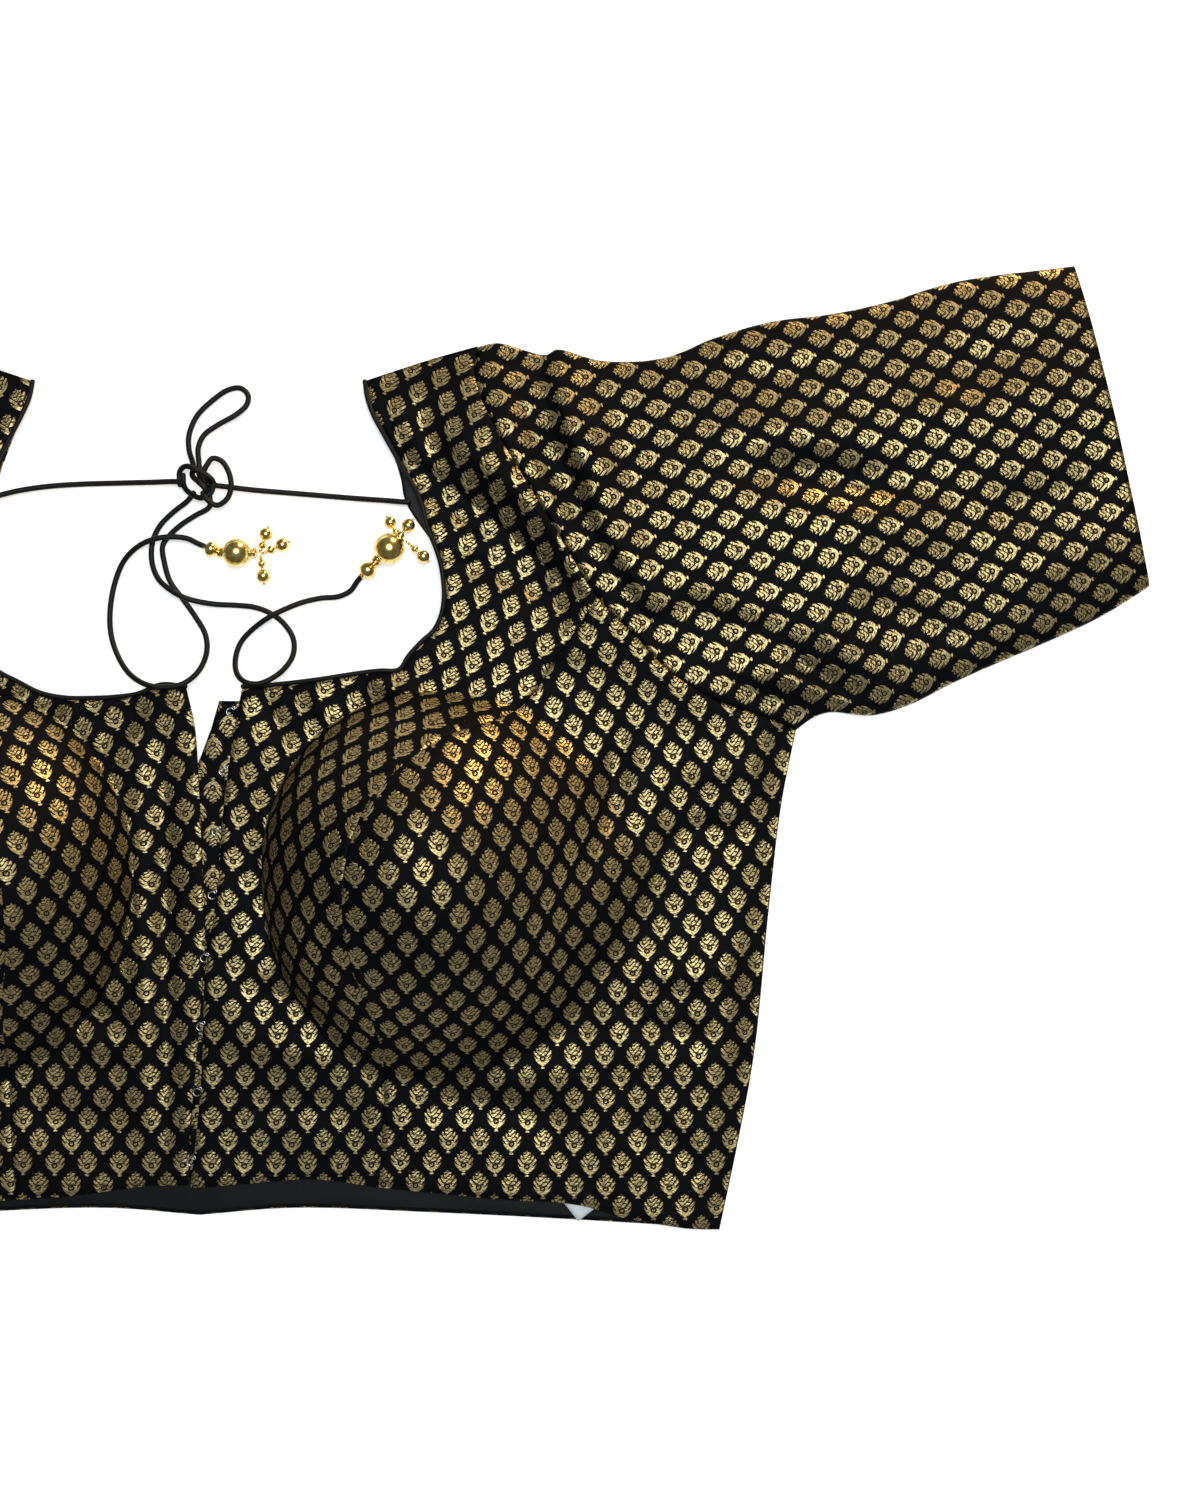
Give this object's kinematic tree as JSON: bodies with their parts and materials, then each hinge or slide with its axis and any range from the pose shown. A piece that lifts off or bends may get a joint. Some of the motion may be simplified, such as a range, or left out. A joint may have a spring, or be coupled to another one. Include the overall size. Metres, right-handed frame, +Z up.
{
  "type": "choli blouse",
  "caption": "Choli blouse laid flat: princess-seamed front with padded cups and a hook opening, wide elbow sleeves and a deep back tied by cords with bead tassels.",
  "frame": {"origin": "on the table under the middle of the blouse, cords and tassels left out: the bottom centre of its box", "axes": "+X towards the wearer's left sleeve, +Y towards the neck, +Z up out of the front"},
  "size_m": [0.7766, 0.3936, 0.0554],
  "materials": {
    "brocade": "black satin silk with small gold zari butas",
    "plain_satin": "plain black satin",
    "dori_cord": "black satin cord",
    "gold_beads": "polished gold-coloured beads",
    "hook_steel": "bright drawn wire",
    "label_tape": "white satin tape, blank"
  },
  "bodies": {
    "root": {"front_centre_left": "brocade", "front_side_left": "brocade", "sleeve_left": "brocade", "neck_piping_left": "plain_satin", "strap_facing_left": "plain_satin", "front_centre_right": "brocade", "front_side_right": "brocade", "sleeve_right": "brocade", "neck_piping_right": "plain_satin", "strap_facing_right": "plain_satin", "back": "brocade", "hem_facing": "plain_satin", "placket_strip": "brocade", "size_label": "label_tape", "hook_1": "hook_steel", "hook_2": "hook_steel", "hook_3": "hook_steel", "hook_4": "hook_steel", "hook_5": "hook_steel", "hook_6": "hook_steel", "hook_7": "hook_steel", "hook_8": "hook_steel", "dori_left": "dori_cord", "dori_right": "dori_cord", "dori_bow": "dori_cord", "dori_ring": "dori_cord", "dori_tail_left": "dori_cord", "dori_tail_right": "dori_cord", "dori_knot": "dori_cord", "latkan_left_small_ball": "gold_beads", "latkan_left_spacer": "gold_beads", "latkan_left_big_ball": "gold_beads", "latkan_left_cap": "gold_beads", "latkan_left_dangle_1": "gold_beads", "latkan_left_dangle_2": "gold_beads", "latkan_left_dangle_3": "gold_beads", "latkan_right_small_ball": "gold_beads", "latkan_right_spacer": "gold_beads", "latkan_right_big_ball": "gold_beads", "latkan_right_dangle_1": "gold_beads", "latkan_right_dangle_2": "gold_beads", "latkan_right_dangle_3": "gold_beads"}
  },
  "joints": []
}
